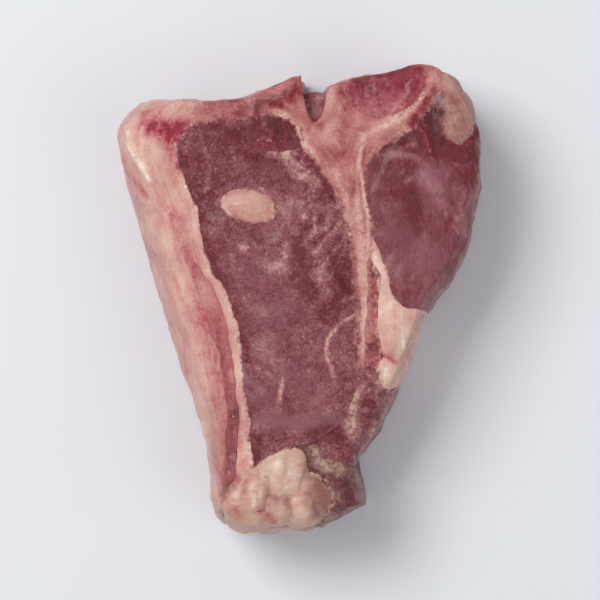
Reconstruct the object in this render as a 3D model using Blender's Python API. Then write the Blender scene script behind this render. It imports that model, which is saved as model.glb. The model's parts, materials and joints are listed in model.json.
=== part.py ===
"""Raw lamb loin chop, lying on one cut face.

The chop is a thick slice across the loin. Every muscle, fat and bone region that the cut face
shows runs right through the slice, so each one is a solid of its own. Neighbours share their
seams: a seam is a smooth curve through a few points, and the two pieces beside it each stay
half of SEAM_GAP away from it.

The design is in millimetres, and becomes metres when a mesh is made. +X runs from the back fat
to the fillet, +Y from the tail to the backbone, +Z from the lower cut face to the upper one.
"""

import math

import bpy
from mathutils import Vector, geometry

MM = 0.001

# Driving dimensions, in millimetres.
THICKNESS = 28.0        # lower cut face to upper cut face
SEAM_GAP = 0.3          # clear width of every seam between two pieces
SEAM_STEP = 2.0         # spacing of the points along a seam
FACE_STEP = 3.5         # spacing of the points inside a cut face
FACE_MARGIN = 1.1       # least distance from a face point to the piece's edge
GROOVE_DEPTH = 0.45     # how far a piece's edge lies below its crown
GROOVE_WIDTH = 3.0      # distance over which a piece rises to its crown
SOLE_WIDTH = 1.6        # plan width of the round along the lower edge
SOLE_HEIGHT = 1.2       # height of the round along the lower edge
LEAN_REACH = 11.0       # the lean of the side dies out this far inside the rim
MITRE_LIMIT = 0.08      # keeps an inset corner from running far past a sharp tip

WAIST = 0.4             # the side is widest at this fraction of the thickness
WALL_LEVELS = (0.3, 0.62)            # rings between the lower and upper edges, as fractions
SHOULDER_RINGS = (0.05, 0.2, 0.5, 0.85)  # face points over a shoulder, as fractions of its width

# Points where regions meet, or where the outside turns a sharp corner.
JUNCTIONS = {
    "canal_lip_left": (0.0, 47.0),
    "cord_left": (0.3, 43.2),
    "canal_floor": (3.2, 36.6),
    "cord_right": (5.3, 42.6),
    "canal_lip_right": (6.0, 44.8),
    "feather_tip": (-24.0, 42.3),
    "cap_foot": (-18.3, -43.8),
    "tail_split": (2.6, -48.4),
    "tail_corner": (13.6, -43.2),
    "tail_top": (11.4, -35.4),
    "kidney_low": (21.0, -18.2),
    "fillet_low": (27.0, -2.5),
    "crus_low": (38.3, 29.0),
    "chine_low": (37.5, 38.0),
    "bone_corner": (29.5, 47.6),
    "eye_head": (-22.6, 37.2),
    "spine_muscle_left": (-10.5, 38.2),
    "spine_muscle_low": (-3.5, 30.0),
    "spine_muscle_right": (1.0, 31.3),
    "stem_left": (12.6, -14.0),
    "stem_right": (14.3, -14.0),
    "crus_bone": (28.5, 41.5),
    "fillet_bone": (23.0, 35.6),
    "kidney_top": (15.2, 13.0),
    "side_top": (14.8, 9.5),
    "side_foot": (16.8, -14.5),
    "cap_inner": (-10.2, -35.2),
    "tail_peak": (-1.8, -31.0),
    "eye_foot": (1.8, -30.4),
}

# The outside, counter-clockwise from the spinal canal, in curves between its sharp corners.
RIM = (
    ("canal_lip_left", (-5.5, 44.8), (-11.5, 42.2), (-17.5, 41.6), "feather_tip",
     (-29.5, 42.0), (-35.0, 40.0), (-38.0, 35.5), (-37.7, 30.0), (-35.6, 21.0), (-32.2, 10.0),
     (-26.0, -10.0), (-20.4, -29.0), (-18.7, -38.0), "cap_foot", (-14.5, -47.3), (-8.5, -49.1),
     (-3.7, -48.3), "tail_split", (8.5, -46.0), "tail_corner"),
    ("tail_corner", (12.7, -39.0), "tail_top"),
    ("tail_top", (16.5, -27.5), "kidney_low", (24.5, -10.0), "fillet_low", (33.0, 5.0),
     (36.2, 13.0), (37.8, 21.0), "crus_low", (38.3, 33.5), "chine_low", (36.2, 42.5),
     (33.3, 45.8), "bone_corner", (26.0, 49.0), (20.0, 48.0), (12.0, 46.6), "canal_lip_right"),
    ("canal_lip_right", "cord_right"),
    ("cord_right", (3.0, 43.4), "cord_left"),
    ("cord_left", "canal_lip_left"),
)

# The seams inside the chop.
SEAMS = (
    ("cord_left", (1.6, 38.6), "canal_floor", (4.7, 38.6), "cord_right"),
    ("feather_tip", "eye_head"),
    ("eye_head", (-17.0, 38.2), "spine_muscle_left", (-6.0, 39.0), (-1.8, 37.4), (0.4, 34.5),
     "spine_muscle_right", (4.4, 27.6), (7.5, 22.0), (9.9, 15.5), (10.9, 7.0), (12.0, -3.0),
     "stem_left"),
    ("spine_muscle_left", (-10.8, 34.0), (-8.3, 31.0), "spine_muscle_low",
     "spine_muscle_right"),
    ("eye_head", (-25.3, 34.5), (-26.0, 30.5), (-24.0, 25.5), (-22.0, 19.5), (-21.1, 13.0),
     (-19.0, 7.5), (-15.8, 1.0), (-13.6, -5.5), (-12.3, -13.5), (-10.8, -26.0), "cap_inner"),
    ("bone_corner", (29.8, 44.5), "crus_bone", (25.4, 38.3), "fillet_bone", (19.0, 33.2),
     (16.0, 31.0), (14.1, 27.3), (14.1, 21.0), "kidney_top", "side_top", (14.4, 2.0),
     (14.1, -6.0), "stem_right"),
    ("stem_left", "stem_right"),
    ("stem_right", "side_foot"),
    ("crus_bone", (28.9, 37.0), (30.8, 33.8), (33.8, 32.5), (36.6, 34.4), "chine_low"),
    ("fillet_bone", (25.0, 32.0), (29.0, 29.3), (33.8, 28.2), "crus_low"),
    ("kidney_top", (17.6, 9.0), (18.7, 4.5), (19.7, 0.5), (22.7, -1.8), "fillet_low"),
    ("side_top", (16.6, 6.0), (16.6, 1.5), (15.9, -2.5), (16.5, -7.0), (17.3, -11.0),
     "side_foot", (17.9, -17.8), (19.3, -19.0), "kidney_low"),
    ("stem_left", (11.5, -19.5), (9.0, -25.0), (5.5, -28.3), "eye_foot"),
    ("cap_inner", (-6.5, -32.7), "tail_peak", "eye_foot", (7.0, -33.0), "tail_top"),
    ("tail_peak", (2.0, -35.8), (6.0, -38.8), (6.7, -43.5), "tail_split"),
    ("cap_inner", (-13.5, -39.5), "cap_foot"),
)

# The dark marrow core of the vertebra.
MARROW = ((10.0, 44.4), (15.0, 45.6), (20.5, 46.5), (25.4, 47.0), (26.6, 44.6), (23.3, 40.8),
          (18.0, 38.3), (12.6, 39.0), (10.0, 41.8))

# The thin muscle inside the back fat: points down its middle, with its half width at each.
STREAK = ((-22.4, 7.2, 0.6), (-20.3, 3.0, 1.1), (-18.2, -2.5, 1.3), (-16.4, -9.5, 1.2),
          (-15.1, -17.0, 1.0), (-14.3, -25.0, 0.9), (-14.3, -32.0, 0.9), (-15.4, -38.0, 0.6))

# The oval fat kernel in the loin eye.
KERNEL_CENTRE = Vector((-10.8, 19.6))
KERNEL_RADII = (5.6, 3.4)
KERNEL_TILT = math.radians(-8)

# The round of the upper edge: a place, and the round's plan width, its drop and the side's lean.
SHOULDERS = (
    (-31.0, 41.5, 3.5, 4.5, 0.8),
    (-38.0, 33.0, 5.0, 7.0, 1.2),
    (-32.0, 10.0, 6.0, 10.0, 1.8),
    (-25.0, -12.0, 5.5, 9.0, 1.6),
    (-19.0, -36.0, 4.0, 7.0, 1.4),
    (-8.0, -49.0, 5.0, 8.0, 1.5),
    (3.0, -48.0, 4.0, 6.0, 1.2),
    (13.6, -43.0, 2.5, 4.0, 1.0),
    (14.0, -31.0, 3.0, 5.0, 1.0),
    (24.0, -10.0, 2.5, 4.0, 1.0),
    (36.0, 12.0, 3.2, 5.0, 1.4),
    (38.3, 30.0, 2.5, 4.0, 1.0),
    (35.0, 44.0, 2.5, 3.5, 0.8),
    (29.0, 48.0, 0.8, 0.8, 0.0),
    (18.0, 47.6, 0.6, 0.6, 0.0),
    (6.0, 44.8, 0.6, 0.6, 0.0),
    (3.0, 40.0, 0.6, 0.6, 0.0),
    (0.0, 47.0, 0.6, 0.6, 0.0),
    (-10.0, 43.0, 0.8, 0.8, 0.0),
    (-22.0, 42.3, 1.4, 1.4, 0.2),
)

# Broad swells and hollows of the upper cut face: a place, a radius and a height.
SWELLS = ((-4.0, 4.0, 17.0, 0.8), (27.0, 14.0, 9.0, -0.7), (12.0, -29.0, 7.0, -2.2))

# Fat lobes: a place, a radius and a height.
TAIL_LOBES = ((-9.5, -41.0, 4.5, 1.6), (0.8, -42.5, 4.0, 1.3), (-3.5, -35.0, 4.0, 1.5))
KIDNEY_LOBES = ((22.5, -6.5, 3.5, 0.8),)

# Each piece: its outline, the lift and crown of its upper face, its colour and roughness.
# The outline is a ring of junctions, or one of the closed outlines that closed_outlines makes.
PIECES = (
    ("t_bone",
     ("canal_lip_left", "feather_tip", "eye_head", "spine_muscle_left", "spine_muscle_right",
      "stem_left", "stem_right", "side_top", "kidney_top", "fillet_bone", "crus_bone",
      "bone_corner", "canal_lip_right", "cord_right", "canal_floor", "cord_left"),
     0.35, 0.0, (0.50, 0.26, 0.23), 0.50),
    ("spine_muscle",
     ("spine_muscle_left", "spine_muscle_low", "spine_muscle_right"),
     -0.2, 0.5, (0.20, 0.04, 0.05), 0.35),
    ("loin_eye",
     ("eye_head", "cap_inner", "tail_peak", "eye_foot", "stem_left", "spine_muscle_right",
      "spine_muscle_low", "spine_muscle_left"),
     0.2, 0.7, (0.26, 0.09, 0.10), 0.35),
    ("fat_cap",
     ("feather_tip", "cap_foot", "cap_inner", "eye_head"),
     0.3, 0.3, (0.69, 0.43, 0.37), 0.40),
    ("tail_fat",
     ("cap_inner", "cap_foot", "tail_split", "tail_peak"),
     -0.4, 0.5, (0.59, 0.40, 0.33), 0.40),
    ("tail_muscle",
     ("tail_peak", "tail_split", "tail_corner", "tail_top", "eye_foot"),
     -0.6, 0.5, (0.18, 0.07, 0.08), 0.35),
    ("flank_muscle",
     ("stem_left", "eye_foot", "tail_top", "kidney_low", "side_foot", "stem_right"),
     -0.2, 0.5, (0.24, 0.07, 0.08), 0.35),
    ("side_muscle",
     ("side_top", "stem_right", "side_foot"),
     -0.5, 0.3, (0.20, 0.05, 0.06), 0.35),
    ("kidney_fat",
     ("kidney_top", "side_top", "side_foot", "kidney_low", "fillet_low"),
     0.3, 0.8, (0.64, 0.42, 0.35), 0.40),
    ("tenderloin",
     ("fillet_bone", "kidney_top", "fillet_low", "crus_low"),
     0.0, 0.7, (0.20, 0.07, 0.08), 0.35),
    ("crus_muscle",
     ("crus_bone", "fillet_bone", "crus_low", "chine_low"),
     -0.9, 0.4, (0.15, 0.04, 0.05), 0.35),
    ("chine_fat",
     ("bone_corner", "crus_bone", "chine_low"),
     0.2, 0.9, (0.38, 0.20, 0.17), 0.40),
    ("canal_tissue",
     ("cord_left", "canal_floor", "cord_right"),
     -2.4, 0.3, (0.26, 0.08, 0.12), 0.35),
    ("bone_marrow", "marrow", -0.3, 0.2, (0.25, 0.04, 0.06), 0.45),
    ("fat_kernel", "kernel", 0.5, 0.5, (0.56, 0.36, 0.30), 0.40),
    ("cap_muscle", "streak", -0.4, 0.2, (0.54, 0.18, 0.19), 0.40),
)

INLAY_IN = {"t_bone": "marrow", "loin_eye": "kernel", "fat_cap": "streak"}
LOBES = {"tail_fat": TAIL_LOBES, "kidney_fat": KIDNEY_LOBES}


# ---------------------------------------------------------------- curves

def mix(start, end, t_start, t_end, t):
    """The point at t on the straight line from start at t_start to end at t_end."""
    return (start * (t_end - t) + end * (t - t_start)) / (t_end - t_start)


def span(before, start, end, after, count=12):
    """Points of one centripetal Catmull-Rom span, from start up to but not including end."""
    t0 = 0.0
    t1 = t0 + math.sqrt((start - before).length)
    t2 = t1 + math.sqrt((end - start).length)
    t3 = t2 + math.sqrt((after - end).length)
    points = []
    for index in range(count):
        t = t1 + (t2 - t1) * index / count
        a1 = mix(before, start, t0, t1, t)
        a2 = mix(start, end, t1, t2, t)
        a3 = mix(end, after, t2, t3, t)
        b1 = mix(a1, a2, t0, t2, t)
        b2 = mix(a2, a3, t1, t3, t)
        points.append(mix(b1, b2, t1, t2, t))
    return points


def even(points):
    """The same curve with its points evenly spaced, about SEAM_STEP apart."""
    lengths = [0.0]
    for start, end in zip(points, points[1:]):
        lengths.append(lengths[-1] + (end - start).length)
    count = max(1, round(lengths[-1] / SEAM_STEP))
    result = [points[0]]
    leg = 0
    for index in range(1, count):
        target = lengths[-1] * index / count
        while lengths[leg + 1] < target:
            leg += 1
        share = (target - lengths[leg]) / (lengths[leg + 1] - lengths[leg])
        result.append(points[leg].lerp(points[leg + 1], share))
    result.append(points[-1])
    return result


def closed_curve(stops):
    """Evenly spaced points round a smooth closed curve through the stops."""
    places = [Vector(stop) for stop in stops]
    points = []
    for index in range(len(places)):
        around = [places[(index + shift) % len(places)] for shift in (-1, 0, 1, 2)]
        points += span(*around)
    return even(points + points[:1])[:-1]


def strands(stops):
    """One curve cut at its junctions: {(junction, next junction): points}."""
    places = [Vector(JUNCTIONS[stop] if isinstance(stop, str) else stop) for stop in stops]
    before = places[0] * 2 - places[1]
    after = places[-1] * 2 - places[-2]
    padded = [before] + places + [after]
    cut = {}
    name = stops[0]
    points = []
    for index, stop in enumerate(stops[1:]):
        points += span(*padded[index:index + 4])
        if isinstance(stop, str):
            cut[(name, stop)] = even(points + [places[index + 1]])
            name = stop
            points = []
    return cut


def all_strands():
    """Every strand of the rim and the seams, in both directions."""
    found = {}
    for stops in RIM + SEAMS:
        for (start, end), points in strands(stops).items():
            found[(start, end)] = points
            found[(end, start)] = points[::-1]
    return found


def ring(corners, found):
    """The closed outline that follows the strands from corner to corner."""
    loop = []
    for start, end in zip(corners, corners[1:] + corners[:1]):
        loop += found[(start, end)][:-1]
    return loop


def streak_loop():
    """Outline of the thin muscle: down one side of its middle line and back up the other."""
    middle = [Vector(stop[:2]) for stop in STREAK]
    sides = ([], [])
    for index, stop in enumerate(STREAK):
        ahead = middle[min(index + 1, len(middle) - 1)]
        behind = middle[max(index - 1, 0)]
        along = (ahead - behind).normalized()
        across = Vector((-along.y, along.x)) * stop[2]
        sides[0].append(middle[index] - across)
        sides[1].append(middle[index] + across)
    head = middle[0] * 1.2 - middle[1] * 0.2
    foot = middle[-1] * 1.2 - middle[-2] * 0.2
    return closed_curve([head] + sides[0] + [foot] + sides[1][::-1])


def kernel_loop():
    """Outline of the fat kernel: a tilted ellipse."""
    count = round(math.tau * sum(KERNEL_RADII) / 2 / SEAM_STEP)
    turn = Vector((math.cos(KERNEL_TILT), math.sin(KERNEL_TILT)))
    side = Vector((-turn.y, turn.x))
    loop = []
    for index in range(count):
        angle = math.tau * index / count
        reach = turn * KERNEL_RADII[0] * math.cos(angle) + side * KERNEL_RADII[1] * math.sin(angle)
        loop.append(KERNEL_CENTRE + reach)
    return loop


# ---------------------------------------------------------------- plane geometry

def counter_clockwise(loop):
    """The loop, turned round if it runs clockwise."""
    area = sum(a.x * b.y - b.x * a.y for a, b in zip(loop, loop[1:] + loop[:1]))
    return loop if area > 0 else loop[::-1]


def inset(loop, distance):
    """A counter-clockwise loop moved inwards; a negative distance moves it outwards."""
    result = []
    for index, point in enumerate(loop):
        come = (point - loop[index - 1]).normalized()
        go = (loop[(index + 1) % len(loop)] - point).normalized()
        left = Vector((-come.y - go.y, come.x + go.x))
        result.append(point + left * distance / max(1 + come.dot(go), MITRE_LIMIT))
    return result


def segment_distance(point, start, end):
    """Distance from a point to a straight segment."""
    along = end - start
    share = (point - start).dot(along) / along.length_squared
    return (point - start - along * min(max(share, 0.0), 1.0)).length


def loop_distance(point, loop):
    """Distance from a point to a closed loop."""
    return min(segment_distance(point, a, b) for a, b in zip(loop, loop[1:] + loop[:1]))


def inside(point, loops):
    """Whether a point lies in the area that the loops bound."""
    crossings = 0
    for loop in loops:
        for a, b in zip(loop, loop[1:] + loop[:1]):
            if (a.y > point.y) != (b.y > point.y):
                if point.x < a.x + (b.x - a.x) * (point.y - a.y) / (b.y - a.y):
                    crossings += 1
    return crossings % 2 == 1


def bell(point, lumps):
    """Height at a point of smooth round lumps, each a place, a radius and a height."""
    total = 0.0
    for x, y, radius, height in lumps:
        total += height * math.exp(-(point - Vector((x, y))).length_squared / radius ** 2)
    return total


# ---------------------------------------------------------------- the chop's form

class Form:
    """The common shape that every piece follows: the rim, its shoulder and its lean."""

    def __init__(self, found):
        self.rim = []
        for stops in RIM:
            corners = [stop for stop in stops if isinstance(stop, str)]
            for pair in zip(corners, corners[1:]):
                self.rim += list(zip(found[pair], found[pair][1:]))
        self.leans = []
        for start, end in self.rim:
            along = (end - start).normalized()
            outward = Vector((along.y, -along.x))
            self.leans.append(outward * self.shoulder((start + end) / 2)[2])

    @staticmethod
    def shoulder(point):
        """Plan width and drop of the upper edge's round, and the lean, near a point."""
        total = 0.0
        sums = [0.0, 0.0, 0.0]
        for x, y, *values in SHOULDERS:
            weight = 1 / ((point - Vector((x, y))).length_squared + 1) ** 2
            total += weight
            sums = [old + value * weight for old, value in zip(sums, values)]
        return [value / total for value in sums]

    def depth(self, point):
        """Distance from a point to the rim."""
        return min(segment_distance(point, start, end) for start, end in self.rim)

    def top(self, point):
        """Height of the upper cut face."""
        width, drop, _ = self.shoulder(point)
        return THICKNESS + bell(point, SWELLS) - drop * quarter_round(self.depth(point) / width)

    def bottom(self, point):
        """Height of the lower cut face, which is flat but for its rounded edge."""
        return SOLE_HEIGHT * quarter_round(self.depth(point) / SOLE_WIDTH)

    def lean(self, point):
        """How far the side leans in at the upper face's height, as a plan vector."""
        total = 0.0
        way = Vector((0.0, 0.0))
        nearest = LEAN_REACH
        for (start, end), lean in zip(self.rim, self.leans):
            distance = segment_distance(point, start, end)
            nearest = min(nearest, distance)
            weight = 1 / (distance ** 2 + 1) ** 2
            total += weight
            way += lean * weight
        return way / total * (1 - nearest / LEAN_REACH) ** 2


def quarter_round(share):
    """Drop of a quarter-round edge, from 1 at its outside to 0 where share reaches 1."""
    return 1 - math.sqrt(1 - (1 - min(share, 1.0)) ** 2)


# ---------------------------------------------------------------- pieces

def face_points(form, loops):
    """Points inside a piece's face: an even lattice, and rings over the chop's shoulder."""
    outer = loops[0]
    low_x = min(point.x for point in outer)
    low_y = min(point.y for point in outer)
    columns = int((max(point.x for point in outer) - low_x) / FACE_STEP) + 2
    rows = int((max(point.y for point in outer) - low_y) / FACE_STEP) + 2
    wanted = []
    for start, end in form.rim:
        middle = (start + end) / 2
        along = (end - start).normalized()
        inward = Vector((-along.y, along.x))
        width = form.shoulder(middle)[0]
        if width > FACE_MARGIN:
            wanted += [middle + inward * width * share for share in SHOULDER_RINGS]
    for row in range(rows):
        for column in range(columns):
            shift = 0.5 * (row % 2)
            wanted.append(Vector((low_x + (column + shift) * FACE_STEP, low_y + row * FACE_STEP)))
    kept = []
    for point in wanted:
        shy = FACE_MARGIN if form.depth(point) > FACE_MARGIN * 2 else FACE_MARGIN / 3
        if not inside(point, loops) or min(loop_distance(point, loop) for loop in loops) < shy:
            continue
        if all((point - other).length > FACE_MARGIN for other in kept):
            kept.append(point)
    return kept


def triangles(points, loops):
    """Triangles of the area that the loops bound, over all the points, counter-clockwise."""
    edges = []
    first = 0
    for loop in loops:
        edges += [(first + i, first + (i + 1) % len(loop)) for i in range(len(loop))]
        first += len(loop)
    found = geometry.delaunay_2d_cdt(points, edges, [], 0, 1e-6)
    source = [origins[0] for origins in found[3]]
    result = []
    for face in found[2]:
        corners = [source[index] for index in face]
        middle = sum((points[index] for index in corners), Vector((0.0, 0.0))) / 3
        if inside(middle, loops):
            result.append(corners)
    return result


def crown_height(point, loops, lift, crown):
    """Height of a piece's own face over the common upper face."""
    edge = min(loop_distance(point, loop) for loop in loops)
    rise = math.sin(math.pi / 2 * min(edge / GROOVE_WIDTH, 1.0))
    return lift - GROOVE_DEPTH + (GROOVE_DEPTH + crown) * rise


def solid_mesh(name, form, loops, lift, crown, lobes):
    """A piece's closed mesh: upper face, lower face, and walls with rings between them."""
    edge_points = [point for loop in loops for point in loop]
    points = edge_points + face_points(form, loops)
    count = len(points)
    highs = []
    for point in points:
        own = crown_height(point, loops, lift, crown) + bell(point, lobes)
        highs.append(form.top(point) + own)
    lows = [form.bottom(point) for point in points]
    leans = [form.lean(point) for point in points]

    levels = [lows]
    for level in WALL_LEVELS:
        levels.append([low + (high - low) * level for low, high in zip(lows, highs)])
    levels.append(highs)

    # Rings 0 and last hold every point of a face; the rings between hold the edges only.
    starts = []
    vertices = []
    for rank, heights in enumerate(levels):
        starts.append(len(vertices))
        held = count if rank in (0, len(levels) - 1) else len(edge_points)
        for point, height, lean in zip(points[:held], heights, leans):
            rise = (height / THICKNESS - WAIST) / (1 - WAIST)
            place = point - lean * rise ** 2
            vertices.append((place.x * MM, place.y * MM, height * MM))

    faces = []
    for a, b, c in triangles(points, loops):
        faces.append((starts[0] + c, starts[0] + b, starts[0] + a))
        faces.append((starts[-1] + a, starts[-1] + b, starts[-1] + c))
    first = 0
    for loop in loops:
        for index in range(len(loop)):
            here = first + index
            after = first + (index + 1) % len(loop)
            for low, high in zip(starts, starts[1:]):
                faces.append((low + here, low + after, high + after, high + here))
        first += len(loop)

    mesh = bpy.data.meshes.new(name)
    mesh.from_pydata(vertices, [], faces)
    mesh.shade_smooth()
    mesh.set_sharp_from_angle(angle=math.radians(45))
    return mesh


def material(name, colour, roughness):
    """A plain moist surface."""
    made = bpy.data.materials.new(name)
    made.use_nodes = True
    made.diffuse_color = (*colour, 1.0)
    shader = made.node_tree.nodes["Principled BSDF"]
    shader.inputs["Base Color"].default_value = (*colour, 1.0)
    shader.inputs["Roughness"].default_value = roughness
    shader.inputs["Metallic"].default_value = 0.0
    return made


def stand_on_origin(pieces):
    """Move the meshes so that the origin is under the middle of their common box."""
    places = [vertex.co for piece in pieces for vertex in piece.data.vertices]
    shift = Vector((0.0, 0.0, -min(place.z for place in places)))
    for axis in (0, 1):
        values = [place[axis] for place in places]
        shift[axis] = -(min(values) + max(values)) / 2
    for piece in pieces:
        for vertex in piece.data.vertices:
            vertex.co += shift


def build():
    """Model the chop."""
    for thing in list(bpy.data.objects):
        bpy.data.objects.remove(thing)

    found = all_strands()
    form = Form(found)
    closed = {"marrow": closed_curve(MARROW), "kernel": kernel_loop(), "streak": streak_loop()}
    chop = bpy.data.objects.new("lamb_chop", None)
    bpy.context.scene.collection.objects.link(chop)

    pieces = []
    for name, outline, lift, crown, colour, roughness in PIECES:
        loop = closed[outline] if outline in closed else ring(outline, found)
        loops = [inset(counter_clockwise(loop), SEAM_GAP / 2)]
        if name in INLAY_IN:
            hole = inset(counter_clockwise(closed[INLAY_IN[name]]), -SEAM_GAP / 2)
            loops.append(hole[::-1])
        mesh = solid_mesh(name, form, loops, lift, crown, LOBES.get(name, ()))
        mesh.materials.append(material(name, colour, roughness))
        piece = bpy.data.objects.new(name, mesh)
        piece.parent = chop
        bpy.context.scene.collection.objects.link(piece)
        pieces.append(piece)
    stand_on_origin(pieces)


build()
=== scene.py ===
"""Looks of a raw lamb loin chop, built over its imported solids.

Every solid is copied, remeshed finely and given the relief of real meat, fat or bone. All pieces
share one warp, so neighbours still meet where their edges turn ragged. Marks that belong to one
piece, such as fat flecks and blood stains, are strokes placed by fractions of that piece's box.
Lengths are in millimetres until a mesh or a shader needs metres.
"""

import itertools
import json
import math

import bmesh
import bpy
import numpy as np
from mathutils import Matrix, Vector
from mathutils.bvhtree import BVHTree

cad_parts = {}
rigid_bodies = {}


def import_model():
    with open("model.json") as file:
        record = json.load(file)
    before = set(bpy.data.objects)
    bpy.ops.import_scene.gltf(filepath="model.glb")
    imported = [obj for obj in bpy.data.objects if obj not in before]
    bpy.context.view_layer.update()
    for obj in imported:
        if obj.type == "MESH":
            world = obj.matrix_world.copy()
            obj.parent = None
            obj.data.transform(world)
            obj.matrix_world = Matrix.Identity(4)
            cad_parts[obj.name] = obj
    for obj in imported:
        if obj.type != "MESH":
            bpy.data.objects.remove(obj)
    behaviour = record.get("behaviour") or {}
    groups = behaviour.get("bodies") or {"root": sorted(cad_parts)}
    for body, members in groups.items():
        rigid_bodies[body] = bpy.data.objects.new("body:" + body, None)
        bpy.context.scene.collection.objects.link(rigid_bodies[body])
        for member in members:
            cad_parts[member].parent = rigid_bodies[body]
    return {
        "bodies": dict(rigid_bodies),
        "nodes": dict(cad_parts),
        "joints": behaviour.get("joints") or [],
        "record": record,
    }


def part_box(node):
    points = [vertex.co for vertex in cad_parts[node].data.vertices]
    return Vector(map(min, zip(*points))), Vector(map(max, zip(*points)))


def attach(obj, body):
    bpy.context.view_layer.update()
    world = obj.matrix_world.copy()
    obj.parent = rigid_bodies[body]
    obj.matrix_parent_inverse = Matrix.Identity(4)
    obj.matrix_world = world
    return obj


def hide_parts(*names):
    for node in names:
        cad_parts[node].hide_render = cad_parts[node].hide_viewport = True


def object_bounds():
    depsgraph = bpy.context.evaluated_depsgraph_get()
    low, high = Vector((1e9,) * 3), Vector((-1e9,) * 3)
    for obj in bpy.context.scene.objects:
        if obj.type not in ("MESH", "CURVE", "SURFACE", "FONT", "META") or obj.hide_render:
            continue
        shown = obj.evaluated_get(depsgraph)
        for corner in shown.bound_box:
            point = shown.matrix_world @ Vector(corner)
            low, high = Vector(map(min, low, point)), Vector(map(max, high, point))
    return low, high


MM = 0.001

# ---------------------------------------------------------------- sizes, in millimetres

VOXEL = 0.4             # face size of the fine meshes
SMOOTH_ROUNDS = 3       # smoothing after the remesh
SEAM_GROWTH = 0.6       # each piece grows by this much, to close the seams of the solids
SEAM_INSET = 0.48       # seams are measured from this far under the grown surface
GROOVE_CELL = 0.25      # cell of the grid in which grooves along the seams are found
GROOVE_REACH = 2.0      # half the width of the grooves that are filled
FLUSH = 0.85            # how nearly flush overlapping pieces lie along a seam, out of 1
FILL_ROUNDS = 4         # smoothing of the filled grooves
BLEND = 0.5             # share of the neighbour's colour on the seam itself
SHEEN = 0.03            # light that the wet surface mirrors, out of 1
FIBRE_STRETCH = 7.0     # muscle fibres run through the chop, this much longer than wide

# An effect sets in or dies out between the two values of each pair.
FACING = (0.2, 0.8)             # how far up a normal points, on the sides and on a cut face
DEEP_GROOVE = (1.2, 2.4)        # grooves this deep stay open
FILL_DEPTH = (1.5, 4.0)         # points this deep don't rise with a groove
FLUSH_DEPTH = (0.8, 3.0)        # nor flush with the piece that overlaps them
FLUSH_SEAM = (0.3, 0.8)         # and none rise flush this far from the seam
RELIEF_SEAM = (0.1, 0.9)        # relief reaches its height this far from a seam
SIDE_SEAM = (0.5, 1.3)          # and the outer sides start this far from one
MARK_DEPTH = (6.0, 2.0)         # marks reach this far down the sides

# The warp that all pieces share: feature size and reach, sideways and then upwards.
PLAN_WARPS = ((8.0, 0.5), (2.8, 0.24), (1.3, 0.1))
HEIGHT_WARPS = ((11.0, 0.6), (4.5, 0.28))
SIDE_SWAY = (12.0, 1.3)         # the same, for the sides below the upper face
SIDE_STRETCH = (1.0, 1.0, 0.45) # the relief of the sides is drawn out upwards

# Relief: height, or depth, and feature size.
MUSCLE_SWELL = (0.16, 5.0)
MUSCLE_BUNDLES = (0.07, 1.7)
MUSCLE_SIDES = (0.45, 4.0)
FAT_SWELL = (0.16, 6.0)
FAT_GRAIN = (0.05, 1.8)
FAT_LOBES = (1.0, 6.5)
BONE_SWELL = (0.08, 3.0)
BONE_PORES = (0.15, 1.5)
BONE_SIDES = (0.4, 5.0)
MARROW_NET = (0.25, 1.1)

# How far a mark of full strength raises the surface.
MUSCLE_MARKS = {"blood": -0.35, "pale": 0.12, "lump": 1.2, "crease": -0.9}
FAT_MARKS = {"lump": 1.3, "ridge": 0.7, "crease": -0.9, "film": -0.4}

# ---------------------------------------------------------------- colours, in sRGB out of 255

# Each ramp runs from the darkest, bloodiest parts to the palest.
LEAN = ((0.0, (96, 30, 44)), (0.3, (116, 50, 60)), (0.52, (140, 84, 90)), (0.74, (166, 114, 113)),
        (1.0, (206, 166, 150)))
DARK_LEAN = ((0.0, (84, 25, 38)), (0.35, (108, 38, 52)), (0.6, (133, 59, 71)), (0.8, (154, 92, 97)),
             (1.0, (192, 148, 138)))
BROWN_LEAN = ((0.0, (70, 28, 38)), (0.35, (104, 58, 64)), (0.6, (130, 88, 86)),
              (0.8, (158, 124, 110)), (1.0, (192, 159, 140)))
PINK_LEAN = ((0.0, (110, 48, 58)), (0.35, (172, 96, 100)), (0.6, (192, 122, 121)),
             (1.0, (212, 162, 150)))
FAT = ((0.0, (150, 58, 72)), (0.2, (184, 100, 106)), (0.4, (204, 142, 136)), (0.6, (215, 170, 157)),
       (0.8, (223, 186, 170)), (1.0, (242, 222, 208)))
TAIL_FAT = ((0.0, (140, 62, 70)), (0.2, (178, 112, 108)), (0.4, (198, 148, 136)),
            (0.6, (208, 170, 153)), (0.8, (218, 190, 172)), (1.0, (240, 224, 212)))
DULL_FAT = ((0.0, (88, 36, 45)), (0.3, (150, 94, 92)), (0.6, (180, 134, 124)),
            (1.0, (212, 178, 164)))
BONE = ((0.0, (116, 38, 50)), (0.25, (152, 74, 80)), (0.5, (182, 117, 114)), (0.75, (206, 155, 144)),
        (1.0, (224, 188, 174)))
MARROW = ((0.0, (104, 30, 44)), (0.35, (140, 54, 70)), (0.6, (160, 82, 91)), (1.0, (200, 136, 130)))
# VEIL is membrane on lean meat; in the groove at the lower end of the cap's streak it is painted
# shade.
VEIL = (146, 102, 110)          # thin membrane over lean meat
# SHADOW is painted shade, brownish, in the creases and grooves of fat.
SHADOW = (146, 104, 94)         # brownish creases in fat
MEMBRANE = (186, 148, 146)      # the skin of the outer sides
SINEW = (204, 174, 164)         # fine threads in that skin over lean meat and bone
VEIN = (176, 92, 96)            # fine vessels in that skin over fat
FLOOR = (226, 228, 233)

# The tone at the middle of each tissue, as a place on its ramp.
LEAN_TONE = 0.49
FAT_TONE = 0.58
BONE_TONE = 0.545
MARROW_TONE = 0.53

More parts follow.
